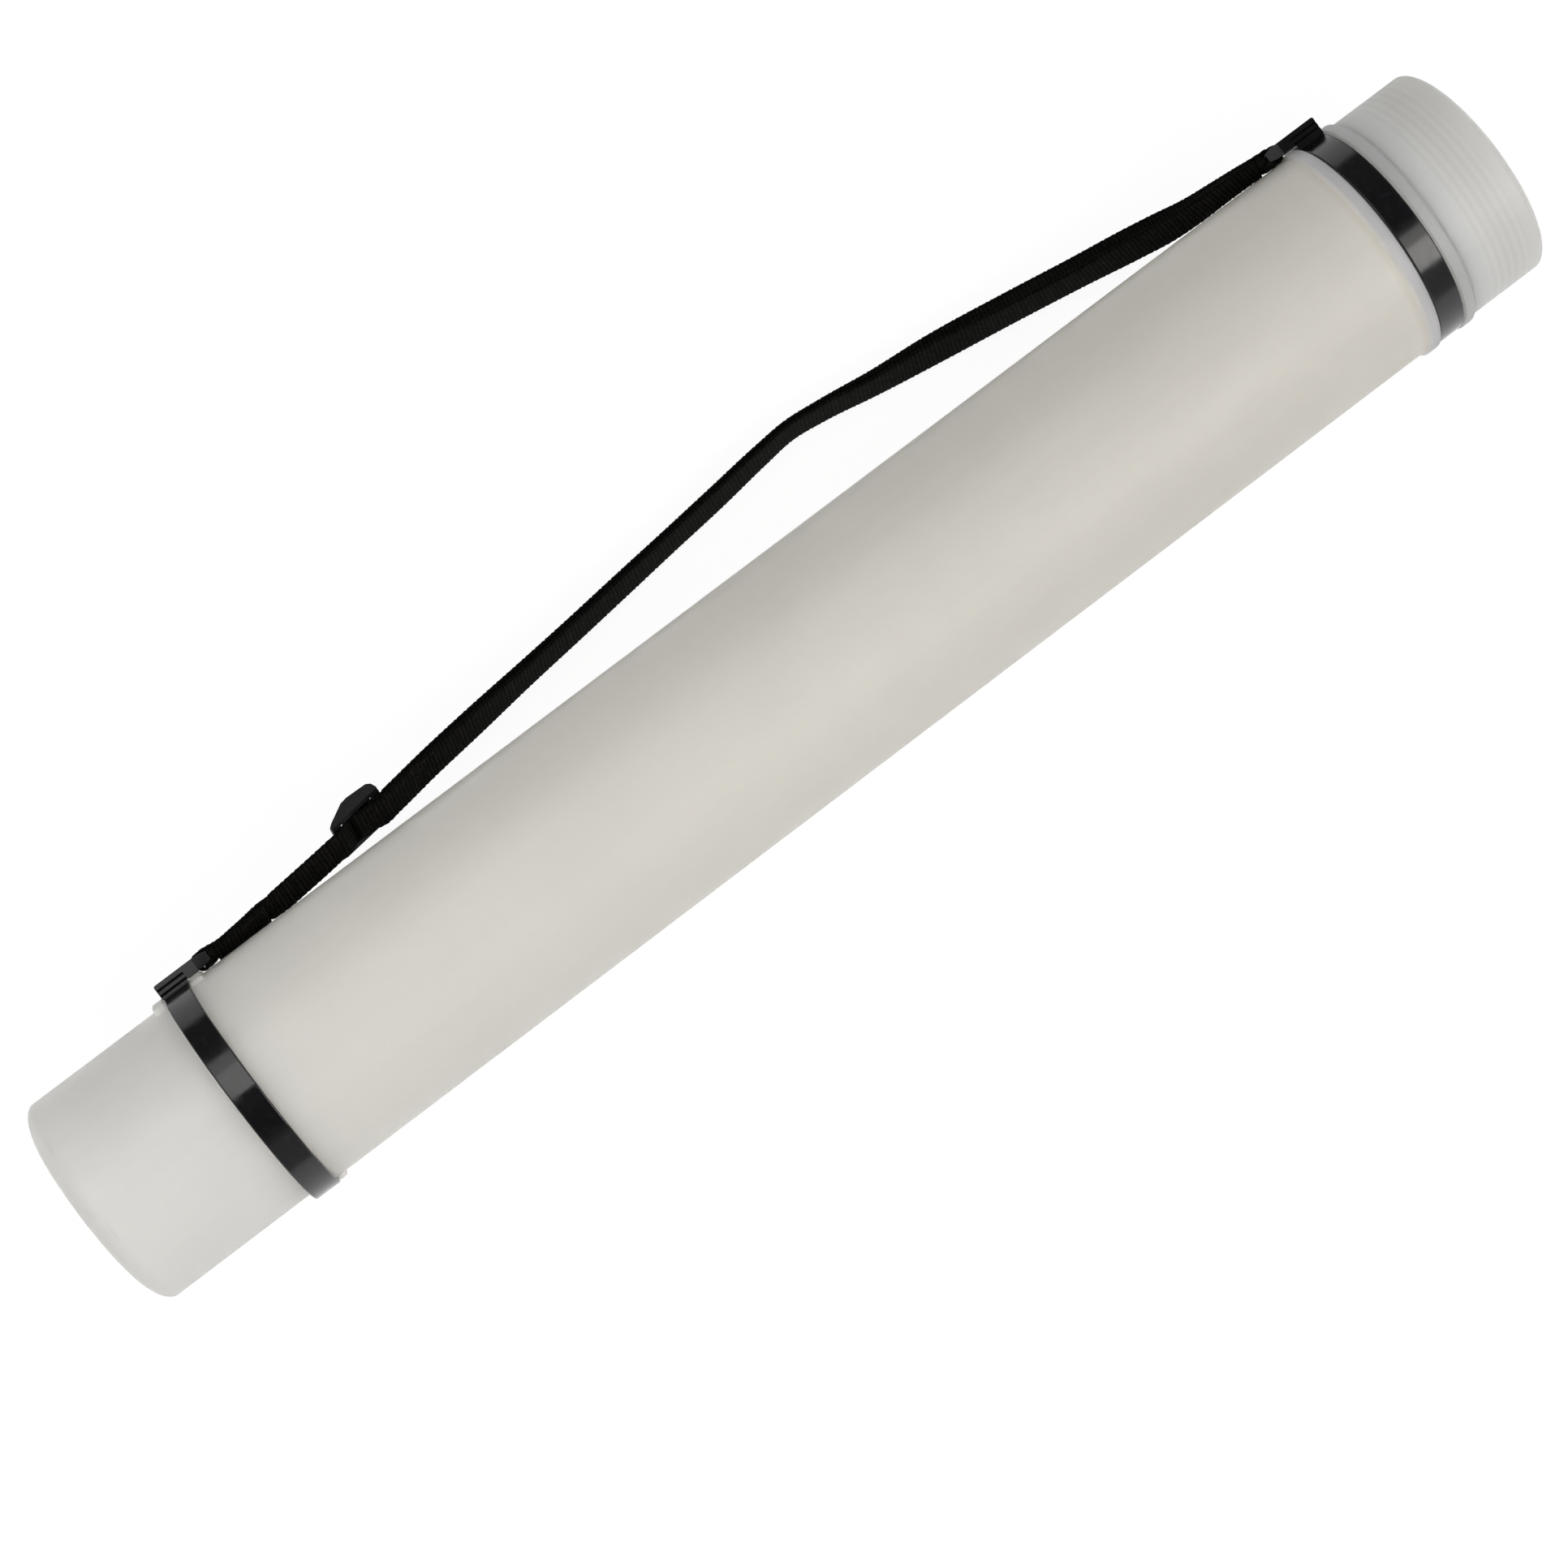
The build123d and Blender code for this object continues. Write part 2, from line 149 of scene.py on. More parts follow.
# Seams: where the stitches start and end along the webbing, and the stitches themselves
tail_seam = (1.6, 9.6)
loop_seam = (-3.0, 6.0)
seam_half = 5.6
stitch_length = 1.7
stitch_space = 0.35
stitch_radius = 0.2

# Rings of one stitch: share of its length, height over the webbing and size, both in its radius
stitch_rings = [(0, -0.6, 0.5), (0.2, 0.4, 1), (0.5, 0.75, 1), (0.8, 0.4, 1), (1, -0.6, 0.5)]
stitch_sides = 6

# Scale of a wave texture with its bands one unit apart
wave_scale = 0.31416

# Floor: half its side and its gap under the tube in metres, its colour, and its glow to the camera
floor_half = 12.0
floor_gap = 0.0001
floor_grey = 0.82
floor_glow = 1.12
glow_share = 0.8


def new_material(name, color, roughness):
    """Principled material with one plain colour and roughness, and its node tree."""
    material = bpy.data.materials.new(name)
    material.use_nodes = True
    shader = material.node_tree.nodes["Principled BSDF"]
    shader.inputs["Base Color"].default_value = (*color, 1)
    shader.inputs["Roughness"].default_value = roughness
    return material, material.node_tree, shader


def add_node(tree, kind, **inputs):
    """A node of that kind with some inputs set by name, where a socket links instead."""
    node = tree.nodes.new(kind)
    for name, value in inputs.items():
        socket = node.inputs[name.replace("_", " ")]
        if isinstance(value, bpy.types.NodeSocket):
            tree.links.new(value, socket)
        else:
            socket.default_value = value
    return node


def noise(tree, coordinates, scale, detail=3.0, stretch=(1, 1, 1)):
    """Noise over the object's own coordinates in metres, stretched along its axes."""
    mapping = add_node(tree, "ShaderNodeMapping", Vector=coordinates, Scale=stretch)
    return add_node(
        tree, "ShaderNodeTexNoise", Vector=mapping.outputs["Vector"], Scale=scale, Detail=detail
    ).outputs["Fac"]


def map_range(tree, value, low, high, to_low, to_high):
    """The value carried over in a straight line from one range to another, and held at its ends."""
    node = add_node(tree, "ShaderNodeMapRange", Value=value)
    node.inputs["From Min"].default_value = low
    node.inputs["From Max"].default_value = high
    node.inputs["To Min"].default_value = to_low
    node.inputs["To Max"].default_value = to_high
    return node.outputs["Result"]


def math_node(tree, operation, *values):
    """Product, size or other step of one or two sockets."""
    node = tree.nodes.new("ShaderNodeMath")
    node.operation = operation
    for value, socket in zip(values, node.inputs):
        tree.links.new(value, socket)
    return node.outputs["Value"]


def ramp(tree, value, stops):
    """Colour ramp with the given stops as (place, colour)."""
    node = tree.nodes.new("ShaderNodeValToRGB")
    tree.links.new(value, node.inputs["Fac"])
    elements = node.color_ramp.elements
    while len(elements) < len(stops):
        elements.new(0.5)
    for element, (place, color) in zip(elements, stops):
        element.position = place
        element.color = (*color, 1)
    return node.outputs["Color"]


def mix_colors(tree, factor, first, second, blend="MIX"):
    """Mix of two colours, each given as a socket or a plain colour."""
    node = tree.nodes.new("ShaderNodeMix")
    node.data_type = "RGBA"
    node.blend_type = blend
    for socket, value in zip((node.inputs[0], node.inputs[6], node.inputs[7]), (factor, first, second)):
        if isinstance(value, bpy.types.NodeSocket):
            tree.links.new(value, socket)
        else:
            socket.default_value = value
    return node.outputs[2]


def bump(tree, shader, height, distance, strength, normal=None):
    """Bump from a height, on top of another one if its normal is given."""
    node = add_node(tree, "ShaderNodeBump", Height=height, Distance=distance, Strength=strength)
    if normal is not None:
        tree.links.new(normal, node.inputs["Normal"])
    tree.links.new(node.outputs["Normal"], shader.inputs["Normal"])
    return node.outputs["Normal"]


def frosted(name, stops, length, alpha=1.0, roughness=0.42, ridges=None):
    """Milky blown plastic whose colour changes along the tube, with faint flow streaks and grain.

    Ridges are the first and last place and the pitch of a thread whose light and shade through the wall
    are painted as faint bands.
    """
    material, tree, shader = new_material(name, stops[0][1], roughness)
    coordinates = tree.nodes.new("ShaderNodeTexCoord").outputs["Object"]
    along = add_node(tree, "ShaderNodeSeparateXYZ", Vector=coordinates).outputs["X"]
    place = map_range(tree, along, 0, length, 0, 1)
    color = ramp(tree, place, [(x / length, c) for x, c in stops])
    streaks = noise(tree, coordinates, 1.0, 4.0, (5, 160, 160))
    clouds = noise(tree, coordinates, 26.0, 3.0)
    for pattern, brightest in ((streaks, 1.008), (clouds, 1.01)):
        shade = map_range(tree, pattern, 0.3, 0.7, 0.99, brightest)
        color = mix_colors(tree, 1.0, color, shade, "MULTIPLY")
    # Painted light and shade of the thread behind the wall, as faint bands
    if ridges:
        first, last, pitch = ridges
        arcs = add_node(tree, "ShaderNodeTexWave", Vector=coordinates, Scale=wave_scale / pitch)
        begin = map_range(tree, along, first, first + pitch / 2, 0, 1)
        finish = map_range(tree, along, last - pitch / 2, last, 1, 0)
        inside = math_node(tree, "MULTIPLY", begin, finish)
        ridge_shade = map_range(tree, arcs.outputs["Fac"], 0, 1, 0.965, 1.02)
        ridged = mix_colors(tree, 1.0, color, ridge_shade, "MULTIPLY")
        color = mix_colors(tree, inside, color, ridged)
    tree.links.new(color, shader.inputs["Base Color"])
    scuffs = noise(tree, coordinates, 90.0, 6.0, (0.35, 1, 1))
    scuffed = map_range(tree, scuffs, 0.35, 0.7, roughness - 0.05, roughness + 0.08)
    tree.links.new(scuffed, shader.inputs["Roughness"])
    waves = bump(tree, shader, noise(tree, coordinates, 22.0, 2.0, (0.5, 1, 1)), 0.0004, 0.15)
    bump(tree, shader, noise(tree, coordinates, 2600.0, 2.0), 0.00002, 0.35, waves)
    shader.inputs["IOR"].default_value = 1.5
    shader.inputs["Specular IOR Level"].default_value = 0.4
    shader.subsurface_method = "BURLEY"
    shader.inputs["Subsurface Weight"].default_value = 1.0
    shader.inputs["Subsurface Radius"].default_value = (1.0, 0.95, 0.85)
    shader.inputs["Subsurface Scale"].default_value = 0.028
    shader.inputs["Alpha"].default_value = alpha
    return material


def black_plastic(name, color, roughness, specular=0.5):
    """Moulded black plastic with a soft flow pattern, fine scratches and rubbed spots."""
    material, tree, shader = new_material(name, color, roughness)
    coordinates = tree.nodes.new("ShaderNodeTexCoord").outputs["Object"]
    rubs = noise(tree, coordinates, 140.0, 5.0)
    rubbed = map_range(tree, rubs, 0.35, 0.75, roughness - 0.03, roughness + 0.12)
    tree.links.new(rubbed, shader.inputs["Roughness"])
    dust = map_range(tree, noise(tree, coordinates, 420.0, 6.0), 0.55, 0.8, 0, 1)
    light = tuple(1.8 * c + 0.004 for c in color)
    tree.links.new(mix_colors(tree, dust, (*color, 1), (*light, 1)), shader.inputs["Base Color"])
    flow = bump(tree, shader, noise(tree, coordinates, 60.0, 2.0), 0.00015, 0.12)
    bump(tree, shader, noise(tree, coordinates, 900.0, 4.0, (1, 0.2, 0.2)), 0.00002, 0.25, flow)
    shader.inputs["IOR"].default_value = 1.5
    shader.inputs["Specular IOR Level"].default_value = specular
    return material


def woven(name, dark, light):
    """Black webbing: cross ribs are in the mesh, so this adds the warp threads and lint, with painted
    shade between the ribs and painted light on their tops.
    """
    material, tree, shader = new_material(name, dark, 0.8)
    places = tree.nodes.new("ShaderNodeUVMap")
    places.uv_map = "webbing"
    flat = places.outputs["UV"]
    threads = add_node(tree, "ShaderNodeTexWave", Vector=flat, Scale=wave_scale / warp_pitch)
    ribs = add_node(tree, "ShaderNodeTexWave", Vector=flat, Scale=wave_scale / rib_pitch)
    ribs.bands_direction = "Y"
    coordinates = tree.nodes.new("ShaderNodeTexCoord").outputs["Object"]
    lint = noise(tree, coordinates, 700.0, 5.0)
    worn = noise(tree, coordinates, 60.0, 4.0)
    tone = mix_colors(tree, map_range(tree, lint, 0.35, 0.75, 0, 1), (*dark, 1), (*light, 1))
    across_and_along = add_node(tree, "ShaderNodeSeparateXYZ", Vector=flat).outputs
    beside = math_node(tree, "ABSOLUTE", across_and_along["X"])
    uneven = tree.nodes.new("ShaderNodeTexNoise")
    uneven.noise_dimensions = "1D"
    uneven.inputs["Scale"].default_value = 0.45
    tree.links.new(across_and_along["Y"], uneven.inputs["W"])
    for shade in (
        map_range(tree, threads.outputs["Fac"], 0, 1, 0.75, 1.15),
        # painted shade in the valleys between the cross ribs and painted light on their tops
        map_range(tree, ribs.outputs["Fac"], 0, 0.6, 0.25, 1.2),
        map_range(tree, beside, 0.43 * web_width, 0.49 * web_width, 1.0, 0.35),
        map_range(tree, uneven.outputs["Fac"], 0.3, 0.7, 0.75, 1.25),
        map_range(tree, worn, 0.3, 0.7, 0.8, 1.2),
    ):
        tone = mix_colors(tree, 1.0, tone, shade, "MULTIPLY")
    tree.links.new(tone, shader.inputs["Base Color"])
    weave = bump(tree, shader, threads.outputs["Fac"], 0.00015, 0.6)
    bump(tree, shader, lint, 0.0001, 0.5, weave)
    shader.inputs["Specular IOR Level"].default_value = 0.06
    return material


# Colour stops along the outer tube by place in metres: lightest at the closed end, and the darkening
# and warming towards the mouth is painted shade.
tube_stops_with_painted_light_and_shade = [
    (0.000, (0.752, 0.744, 0.718)),
    (0.060, (0.746, 0.739, 0.710)),
    (0.080, (0.732, 0.714, 0.670)),
    (0.250, (0.696, 0.675, 0.619)),
    (0.450, (0.634, 0.612, 0.560)),
    (0.5598, (0.624, 0.602, 0.550)),
    # A tan painted shade line in the step before the bead, then the bead's lilac grey as a painted
    # reflection.
    (0.5606, (0.535, 0.496, 0.422)),
    (0.5614, (0.520, 0.513, 0.514)),
    (0.5660, (0.520, 0.513, 0.514)),
    (0.5780, (0.565, 0.563, 0.540)),
]
tube_material = frosted("frosted_outer", tube_stops_with_painted_light_and_shade, 0.6)
inner_material = frosted("frosted_inner", [(0.0, (0.64, 0.63, 0.59)), (0.6, (0.63, 0.63, 0.60))], 0.6)
# The cap's stops are lighter at its open end, by the mouth rim: painted light that offsets the shade of
# the rim step.
cap_material = frosted(
    "frosted_cap",
    [(0.58, (0.705, 0.703, 0.685)), (0.592, (0.685, 0.683, 0.665)), (0.600, (0.632, 0.630, 0.610))],
    0.62,
    alpha=0.9,
    ridges=(thread_start * mm, (thread_start + thread_turns * thread_pitch) * mm, thread_pitch * mm),
)
band_material = black_plastic("band_black", (0.004, 0.004, 0.005), 0.12)
adjuster_material = black_plastic("adjuster_black", (0.004, 0.004, 0.005), 0.5, specular=0.36)
webbing_material = woven("webbing_black", (0.005, 0.005, 0.0045), (0.016, 0.0155, 0.013))
thread_material = woven("stitching_black", (0.012, 0.012, 0.010), (0.035, 0.034, 0.028))


def dress(node, material):
    """Gives a CAD node its material."""
    target = frame["nodes"][node]
    if not target.material_slots:
        target.data.materials.append(material)
    for slot in target.material_slots:
        slot.material = material


dress("outer_tube", tube_material)
dress("inner_tube", inner_material)
dress("screw_cap", cap_material)
dress("lower_band", band_material)
dress("upper_band", band_material)
dress("strap_adjuster", adjuster_material)


def route_point(station):
    """Middle of the doubled strap's section, standing on its lower edge."""
    share, out, height, lean, gap = station[:5]
    thickness = 2 * layer_thickness + gap
    rise = (web_width * sin(radians(lean)) + thickness * cos(radians(lean))) / 2
    edge_height = -web_width / 2 - floor_z
    x = lower_bar.x + share * (upper_bar.x - lower_bar.x)
    return Vector((x, lower_bar.y + out, floor_z + height * edge_height + rise))


def width_direction(along, lean):
    """Direction up the webbing's width for its lean from flat, square to the run."""
    width = Vector((0, cos(radians(lean)), sin(radians(lean))))
    return (width - along * width.dot(along)).normalized()


adjuster_origin = route_point(adjuster_station)
adjuster_along = (route_point(high_route[0]) - route_point(low_route[-1])).normalized()
adjuster_width = width_direction(adjuster_along, adjuster_station[3])
adjuster_normal = adjuster_along.cross(adjuster_width)


def at_adjuster(x, height):
    """Point on the adjuster's middle line: x along the strap, height to the visible side."""
    return adjuster_origin + adjuster_along * x + adjuster_normal * height, adjuster_width


def layer_knots(stations, side, start, end):
    """Knots of one layer along stations of the route: a point and the width's direction each."""
    points = [route_point(station) for station in stations]
    chain = [start] + points + [end]
    knots = []
    for i, station in enumerate(stations):
        along = (chain[i + 2] - chain[i]).normalized()
        width = width_direction(along, station[3] - side * station[5])
        offset = side * (station[4] + layer_thickness) / 2
        knots.append((points[i] + along.cross(width) * offset, width))
    return knots


def bar_knots(bar, side, first):
    """Webbing folded round a bar as half a rounded square, from one side of it to the other."""
    up = Vector((0, 0, 1))
    half = fold_inside + layer_thickness / 2
    corner = fold_round - layer_thickness / 2
    centre = bar - Vector((side * fold_shift, fold_drop, 0))
    turn = [(bar + Vector((0, first * half - fold_drop, 0)), up)]
    for way in (first, -first):
        for degrees in (0, 45, 90) if way == first else (90, 45, 0):
            angle = radians(degrees)
            x = half - corner + corner * sin(angle)
            y = half - corner + corner * cos(angle)
            turn.append((centre + Vector((side * x, way * y, 0)), up))
    turn.append((bar + Vector((0, -first * half - fold_drop, 0)), up))
    return turn


def spline(knots, step):
    """Smooth line through the knots as points and width directions about one step apart."""
    points = [knot[0] for knot in knots]
    spans = [(b - a).length for a, b in zip(points, points[1:])]
    last = len(knots) - 1
    slopes = []
    for values in ([k[0] for k in knots], [k[1] for k in knots]):
        rates = [(b - a) / d for a, b, d in zip(values, values[1:], spans)]
        inner = [
            (rates[i] * spans[i - 1] + rates[i - 1] * spans[i]) / (spans[i - 1] + spans[i])
            for i in range(1, last)
        ]
        slopes.append([rates[0]] + inner + [rates[-1]])
    line = []
    for i, span in enumerate(spans):
        count = max(1, round(span / step))
        for j in range(count):
            t = j / count
            blend = (2 * t**3 - 3 * t**2 + 1, t**3 - 2 * t**2 + t, 3 * t**2 - 2 * t**3, t**3 - t**2)
            values = []
            for k in (0, 1):
                start, end = knots[i][k], knots[i + 1][k]
                slope = slopes[k]
                values.append(
                    start * blend[0]
                    + slope[i] * span * blend[1]
                    + end * blend[2]
                    + slope[i + 1] * span * blend[3]
                )
            line.append(tuple(values))
    line.append(knots[-1])
    return line


def even(line, step):
    """The same line as frames one step apart: point, along, width, normal and distance."""
    lengths = [0.0]
    for a, b in zip(line, line[1:]):
        lengths.append(lengths[-1] + (b[0] - a[0]).length)
    frames = []
    i = 0
    for count in range(int(lengths[-1] / step) + 1):
        distance = count * step
        while i < len(line) - 2 and lengths[i + 1] < distance:
            i += 1
        t = (distance - lengths[i]) / (lengths[i + 1] - lengths[i])
        point = line[i][0].lerp(line[i + 1][0], t)
        along = (line[i + 1][0] - line[i][0]).normalized()
        width = line[i][1].lerp(line[i + 1][1], t)
        width = (width - along * width.dot(along)).normalized()
        frames.append((point, along, width, along.cross(width), distance))
    return frames


def mesh_object(name, vertices, faces, material, smooth=True):
    """Object with one material from vertices in millimetres."""
    mesh = bpy.data.meshes.new(name)
    mesh.from_pydata([Vector(v) * mm for v in vertices], [], faces)
    mesh.materials.append(material)
    for polygon in mesh.polygons:
        polygon.use_smooth = smooth
    built = bpy.data.objects.new(name, mesh)
    bpy.context.scene.collection.objects.link(built)
    return built


section = [(-0.94, 1), (-0.5, 1), (0, 1), (0.5, 1), (0.94, 1), (1, 0.5), (1, -0.5)]
section += [(-u, -v) for u, v in section]


def webbing(name, frames, material):
    """Ribbed webbing along the frames, closed at both ends, with its own places as UVs."""
    vertices = []
    places = []
    for point, _, width, normal, distance in frames:
        rib = abs(sin(pi * distance / rib_pitch))
        tooth = abs(sin(pi * distance / edge_pitch))
        half_width = web_width / 2 - edge_depth * (1 - tooth)
        half_thickness = web_thickness / 2 - rib_depth * (1 - rib)
        for u, v in section:
            vertices.append(point + width * (u * half_width) + normal * (v * half_thickness))
            places.append((u * web_width / 2, distance))
    size = len(section)
    faces = []
    for ring in range(len(frames) - 1):
        for i in range(size):
            j = (i + 1) % size
            a, b = ring * size, (ring + 1) * size
            faces.append((a + i, b + i, b + j, a + j))
    faces.append(tuple(range(size)))
    faces.append(tuple((len(frames) - 1) * size + i for i in range(size))[::-1])
    built = mesh_object(name, vertices, faces, material)
    layer = built.data.uv_layers.new(name="webbing")
    for loop in built.data.loops:
        layer.data[loop.index].uv = places[loop.vertex_index]
    return built


before_adjuster = at_adjuster(-adjuster_run, 0)[0]
past_adjuster = at_adjuster(adjuster_run, 0)[0]
low_knots = layer_knots(low_route, -1, lower_bar, before_adjuster)
tail_knots = layer_knots(low_route, 1, lower_bar, before_adjuster)[:tail_stations]
main_knots = layer_knots(high_route, -1, past_adjuster, upper_bar)
back_knots = layer_knots(high_route, 1, past_adjuster, upper_bar)

threading = [
    (-adjuster_run, over_bar),
    (-step_top - 1.2, over_bar),
    (-step_top + 0.4, over_bar - 0.8),
    (-beside_bar - 0.1, 0),
    (-beside_bar + 0.8, under_bar + 0.9),
    (-round_bar + 0.7, under_bar),
    (step_bottom - 1.2, under_bar),
    (step_bottom + 0.6, under_bar + 1.3),
    (step_top - 0.5, over_bar - 0.9),
    (step_top + 1.2, over_bar),
    (adjuster_run, over_bar),
]
sewn_loop = [
    (adjuster_run, over_both),
    (step_top, over_both),
    (step_bottom + 0.6, over_both - 0.9),
    (1.6, round_bar + 0.15),
    (0, round_bar),
    (-0.707 * round_bar, 0.707 * round_bar),
    (-round_bar, 0),
    (-0.707 * round_bar, -0.707 * round_bar),
    (0, -round_bar),
    (1.8, -round_bar + 0.35),
    (3.6, 0.2),
]
strap_knots = (
    tail_knots[::-1]
    + bar_knots(lower_bar, -1, -1)
    + low_knots
    + [at_adjuster(x, height) for x, height in threading]
    + main_knots
    + bar_knots(upper_bar, 1, 1)
    + back_knots[::-1]
    + [at_adjuster(x, height) for x, height in sewn_loop]
)
strap_frames = even(spline(strap_knots, 0.2), rib_pitch / rib_samples)
strap = webbing("strap_webbing", strap_frames, webbing_material)
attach(strap, "outer")
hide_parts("strap")


def frame_at(distance):
    """The ribbon's frame nearest to a distance along it."""
    return strap_frames[min(len(strap_frames) - 1, round(distance * rib_samples / rib_pitch))]


def stitch(vertices, faces, start, end, normal):
    """One stitch as a small flattened loop of thread, its ends sunk into the webbing."""
    along = end - start
    sideways = normal.cross(along.normalized())
    first = len(vertices)
    for share, rise, size in stitch_rings:
        centre = start + along * share + normal * (rise * stitch_radius)
        for k in range(stitch_sides):
            angle = tau * k / stitch_sides
            ring = sideways * cos(angle) + normal * (0.8 * sin(angle))
            vertices.append(centre + ring * (stitch_radius * size))
    last = first + (len(stitch_rings) - 1) * stitch_sides
    for a in range(first, last, stitch_sides):
        b = a + stitch_sides
        for k in range(stitch_sides):
            n = (k + 1) % stitch_sides
            faces.append((a + k, a + n, b + n, b + k))
    faces.append(tuple(first + k for k in reversed(range(stitch_sides))))
    faces.append(tuple(last + k for k in range(stitch_sides)))


def stitch_box(vertices, faces, low, high, side):
    """Box of stitches with a cross in it, on one side of the webbing between two distances."""
    corners = [(low, -seam_half), (high, -seam_half), (high, seam_half), (low, seam_half)]
    lines = list(zip(corners, corners[1:] + corners[:1])) + [
        (corners[0], corners[2]),
        (corners[1], corners[3]),
    ]
    for (s1, u1), (s2, u2) in lines:
        span = ((s2 - s1) ** 2 + (u2 - u1) ** 2) ** 0.5
        count = max(1, round(span / (stitch_length + stitch_space)))
        for i in range(count):
            ends = []
            for t in ((i + 0.08) / count, (i + 0.92) / count):
                point, _, width, normal, _ = frame_at(s1 + (s2 - s1) * t)
                ends.append(point + width * (u1 + (u2 - u1) * t) + normal * (side * web_thickness / 2))
            normal = frame_at(s1 + (s2 - s1) * (i + 0.5) / count)[3]
            stitch(vertices, faces, *ends, normal * side)


def distance_near(x, after):
    """Distance along the strap where it passes x, from a given distance on."""
    beyond = (frame for frame in strap_frames if frame[4] >= after)
    return min(beyond, key=lambda frame: abs(frame[0].x - x))[4]


stitch_vertices = []
stitch_faces = []
stitch_box(stitch_vertices, stitch_faces, *tail_seam, -1)
back_start = distance_near(upper_bar.x + fold_inside, 0)
loop_end = distance_near(route_point(high_route[0]).x, back_start)
stitch_box(stitch_vertices, stitch_faces, loop_end + loop_seam[0], loop_end + loop_seam[1], -1)
stitches = mesh_object("strap_stitches", stitch_vertices, stitch_faces, thread_material)
stitches.data.uv_layers.new(name="webbing")
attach(stitches, "outer")


def thread_ridge(name, radius, height, foot_width, shift, material, body):
    """Helical ridge of a screw thread, its ends run out, out of a wall or into a bore."""
    steps = 96 * thread_turns
    taper = 24
    vertices = []
    faces = []
    sink = -0.2 if height > 0 else 0.2
    for i in range(steps + 1):
        angle = tau * thread_turns * i / steps
        x = thread_start + shift + thread_pitch * thread_turns * i / steps
        rise = height * min(1, i / taper, (steps - i) / taper)
        ring = ((-0.5, sink), (-0.25, rise), (0.25, rise), (0.5, sink))
        for offset, level in ring:
            r = radius + level
            vertices.append((x + offset * foot_width, r * cos(angle), r * sin(angle)))
    for i in range(steps):
        for k in range(4):
            n = (k + 1) % 4
            a, b = i * 4, i * 4 + 4
            face = (a + k, b + k, b + n, a + n)
            faces.append(face if height > 0 else face[::-1])
    faces.append((0, 1, 2, 3))
    faces.append(tuple(steps * 4 + k for k in (3, 2, 1, 0)))
    built = mesh_object(name, vertices, faces, material, smooth=False)
    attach(built, body)
    return built


neck_thread = thread_ridge(
    "neck_thread", neck_radius, neck_ridge, neck_ridge_foot, 0.0, inner_material, "inner"
)
cap_thread = thread_ridge(
    "cap_thread", cap_bore_radius, cap_ridge, cap_ridge_foot, thread_pitch / 2, cap_material, "cap"
)


def add_camera():
    """Camera with the photograph's place, direction and angle of view."""
    forward = Vector(camera_forward).normalized()
    level_up = Vector(camera_level_up)
    level_up = (level_up - forward * level_up.dot(forward)).normalized()
    level_right = forward.cross(level_up)
    roll = radians(camera_roll)
    right = level_right * cos(roll) - level_up * sin(roll)
    up = level_right * sin(roll) + level_up * cos(roll)
    camera = bpy.data.objects.new("camera", bpy.data.cameras.new("camera"))
    camera.data.lens = camera_lens
    camera.data.sensor_width = 36.0
    camera.data.sensor_fit = "HORIZONTAL"
    camera.data.clip_end = 30.0
    turn = Matrix((right, up, -forward)).transposed().to_4x4()
    camera.matrix_world = Matrix.Translation(camera_place) @ turn
    bpy.context.scene.collection.objects.link(camera)
    bpy.context.scene.camera = camera


def softbox(name, centre, width, depth, radiance, color):
    """Rectangular lamp that shines straight down and whose face has the given radiance."""
    lamp = bpy.data.lights.new(name, "AREA")
    lamp.shape = "RECTANGLE"
    lamp.size = width
    lamp.size_y = depth
    lamp.energy = radiance * pi * width * depth
    lamp.color = color
    placed = bpy.data.objects.new(name, lamp)
    placed.location = centre
    bpy.context.scene.collection.objects.link(placed)


def add_floor():
    """Pale floor that the camera and reflections see nearly white, with the object's soft shadow."""
    z = floor_z * mm - floor_gap
    corners = [(x * floor_half, y * floor_half, z) for x, y in ((-1, -1), (1, -1), (1, 1), (-1, 1))]
    mesh = bpy.data.meshes.new("floor")
    mesh.from_pydata(corners, [], [(0, 1, 2, 3)])
    material = bpy.data.materials.new("floor")
    material.use_nodes = True
    tree = material.node_tree
    tree.nodes.clear()
    path = tree.nodes.new("ShaderNodeLightPath").outputs
    seen = math_node(tree, "MAXIMUM", path["Is Camera Ray"], path["Is Glossy Ray"])
    seen = math_node(tree, "MAXIMUM", seen, path["Is Transmission Ray"])
    share = map_range(tree, seen, 0, 1, 0, glow_share)
    diffuse = add_node(tree, "ShaderNodeBsdfDiffuse", Color=(floor_grey, floor_grey, floor_grey, 1))
    glow = add_node(tree, "ShaderNodeEmission", Color=(1, 1, 1, 1), Strength=floor_glow)
    mixed = tree.nodes.new("ShaderNodeMixShader")
    tree.links.new(share, mixed.inputs[0])
    tree.links.new(diffuse.outputs[0], mixed.inputs[1])
    tree.links.new(glow.outputs[0], mixed.inputs[2])
    output = tree.nodes.new("ShaderNodeOutputMaterial")
    tree.links.new(mixed.outputs[0], output.inputs["Surface"])
    mesh.materials.append(material)
    floor = bpy.data.objects.new("floor", mesh)
    bpy.context.scene.collection.objects.link(floor)


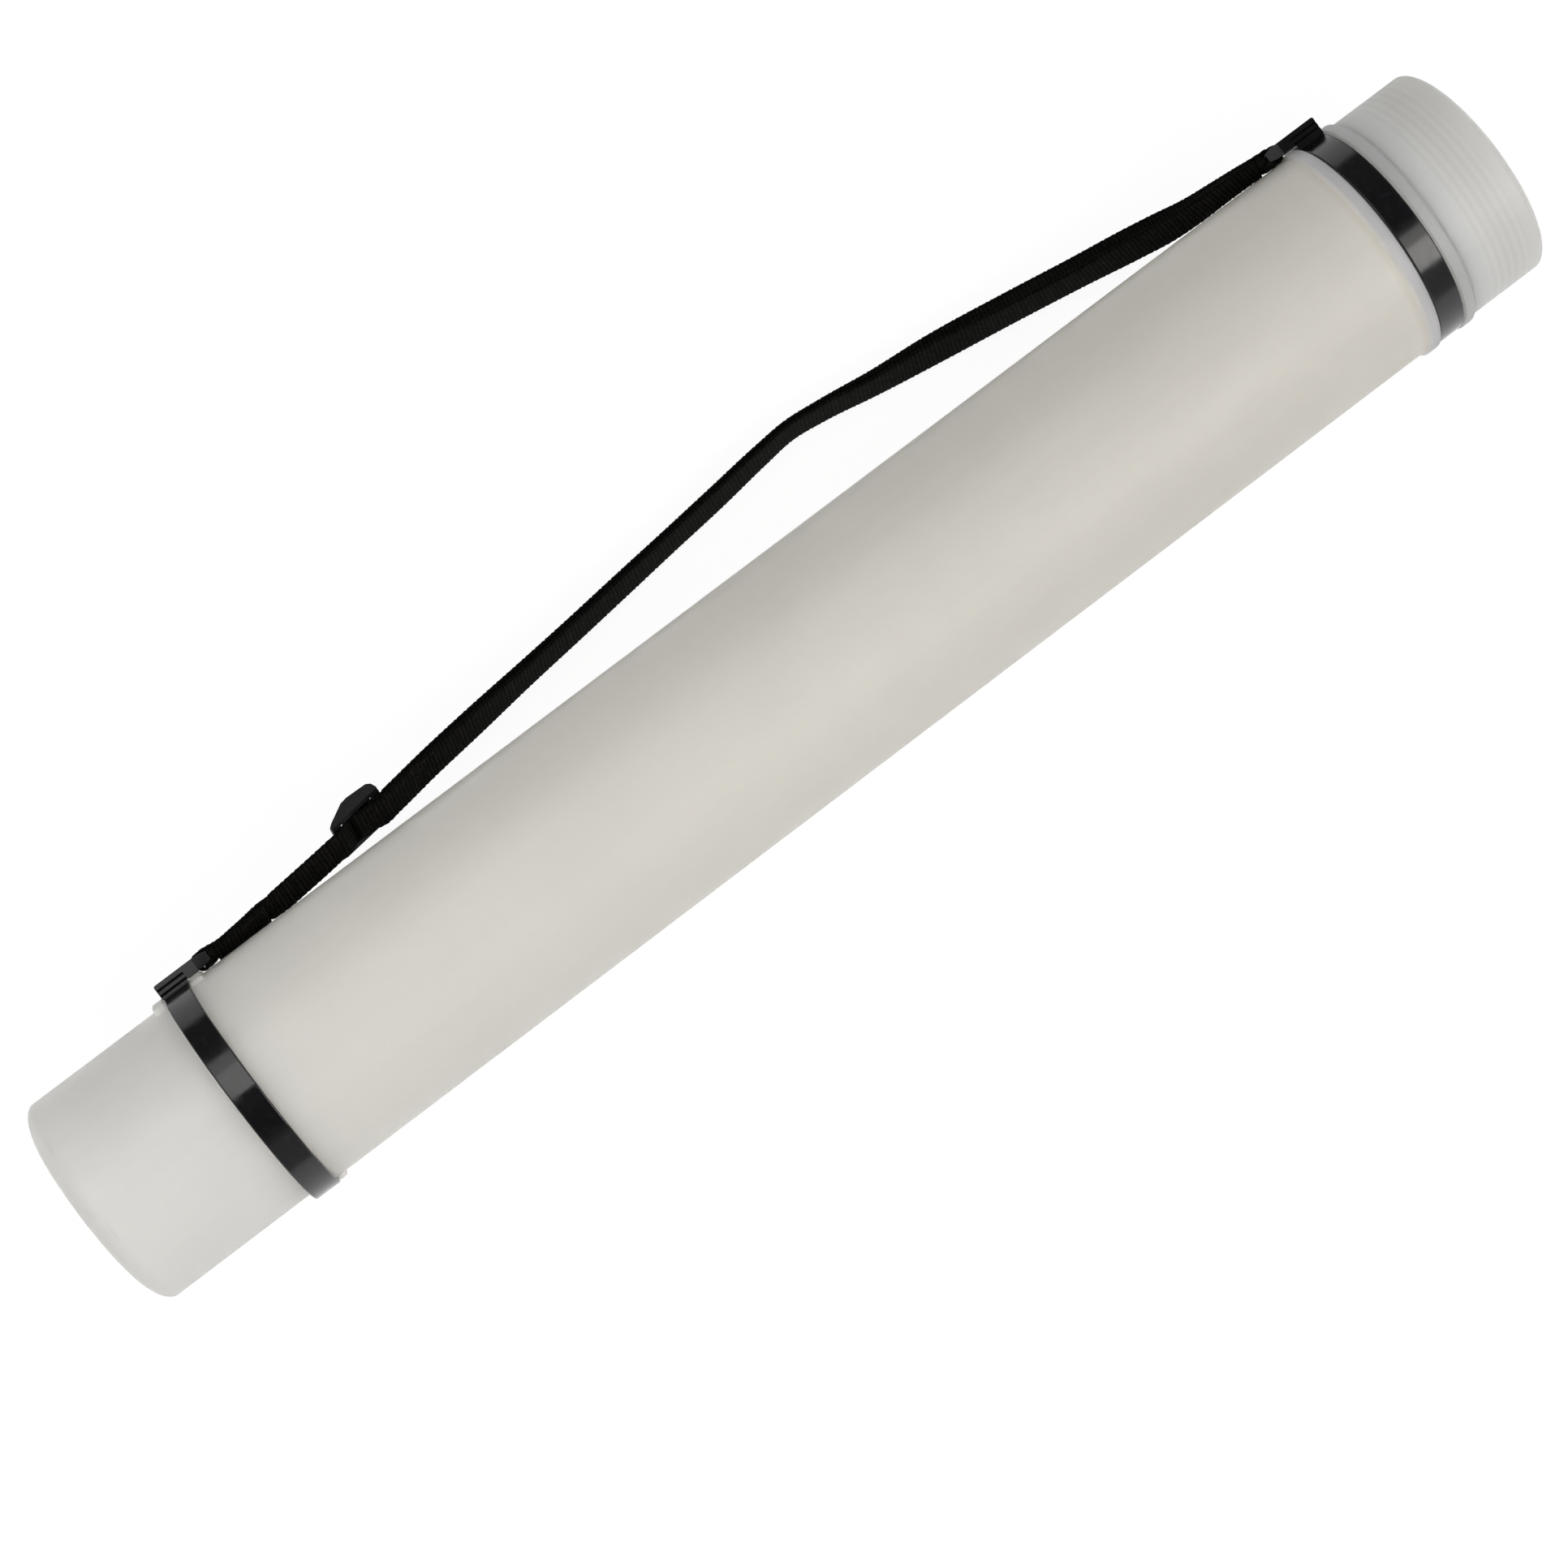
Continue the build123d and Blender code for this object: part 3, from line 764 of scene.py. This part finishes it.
def add_world():
    """Studio dome, dim overhead, grey towards -Y and dark towards +Y.

    The camera sees it white, and so do reflections up to the top of the white backdrop.
    """
    world = bpy.data.worlds.new("studio")
    world.use_nodes = True
    tree = world.node_tree
    background = tree.nodes["Background"]
    direction = tree.nodes.new("ShaderNodeTexCoord").outputs["Generated"]
    axes = add_node(tree, "ShaderNodeSeparateXYZ", Vector=direction).outputs
    side = map_range(tree, axes["Y"], -0.5, 0.5, 0, 1)
    greys = ((0.0, 0.42), (0.5, 0.6), (0.9, 0.12))
    low = ramp(tree, side, [(place, (grey, grey, grey)) for place, grey in greys])
    overhead = map_range(tree, axes["Z"], 0.6, 0.75, 0, 1)
    dome = mix_colors(tree, overhead, low, (0.09, 0.09, 0.09, 1))
    beyond = map_range(tree, math_node(tree, "ABSOLUTE", axes["X"]), 0.4, 0.7, 0, 1)
    dome = mix_colors(tree, beyond, dome, (0.9, 0.9, 0.9, 1))
    path = tree.nodes.new("ShaderNodeLightPath").outputs
    mirrored = math_node(tree, "MAXIMUM", path["Is Glossy Ray"], path["Is Transmission Ray"])
    backdrop = map_range(tree, axes["Z"], 0.02, 0.08, 1, 0)
    mirrored_backdrop = math_node(tree, "MULTIPLY", mirrored, backdrop)
    seen = math_node(tree, "MAXIMUM", path["Is Camera Ray"], mirrored_backdrop)
    tree.links.new(mix_colors(tree, seen, dome, (1, 1, 1, 1)), background.inputs["Color"])
    bpy.context.scene.world = world


add_camera()
add_floor()
add_world()
softbox("softbox_left", (-0.12, 0.5725, 1.95), 1.25, 0.955, 2.6, (1.0, 0.99, 0.97))
softbox("softbox_left_far", (-0.12, 1.4, 1.95), 1.25, 0.7, 1.7, (1.0, 0.99, 0.97))
softbox("softbox_right", (1.15, -0.62, 1.95), 1.1, 0.5, 2.2, (1.0, 0.98, 0.95))
softbox("softbox_right_far", (1.15, -1.6, 1.95), 1.1, 1.46, 5.0, (1.0, 0.98, 0.95))
bpy.context.scene.view_settings.view_transform = "Standard"
